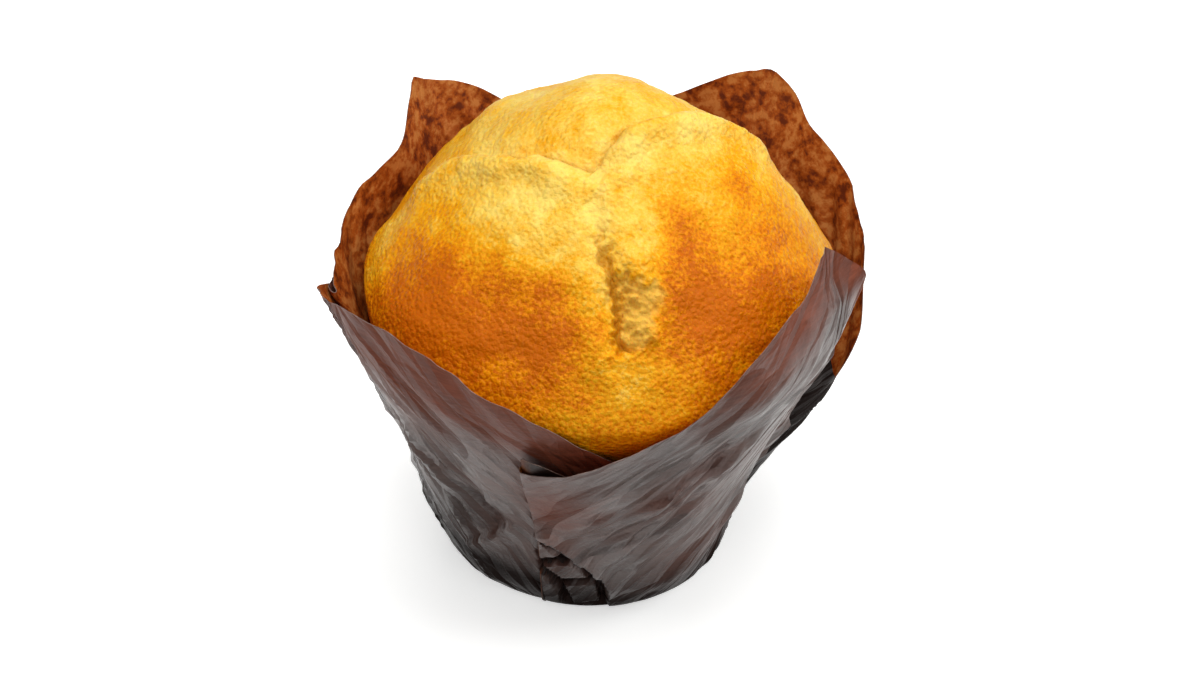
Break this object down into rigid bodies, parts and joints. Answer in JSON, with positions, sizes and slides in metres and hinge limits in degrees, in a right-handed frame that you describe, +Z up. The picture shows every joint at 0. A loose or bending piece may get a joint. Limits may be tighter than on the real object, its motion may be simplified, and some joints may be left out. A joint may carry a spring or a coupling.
{
  "type": "muffin in a tulip paper case",
  "caption": "Plain golden muffin with a cracked, domed crust, standing in a folded dark brown greaseproof tulip case whose petals flare around the dome.",
  "frame": {"origin": "centre of the paper case's flat base, on the surface that the muffin stands on", "axes": "+Z up through the dome, -Y towards the front, where the crust's crumb shows in its crack and the case's lowest pleat lies, +X to the right of the front"},
  "size_m": [0.0969, 0.0938, 0.093],
  "materials": {
    "crust": "matte",
    "greaseproof": "satin"
  },
  "bodies": {
    "root": {"muffin": "crust", "tulip_case": "greaseproof"}
  },
  "joints": []
}
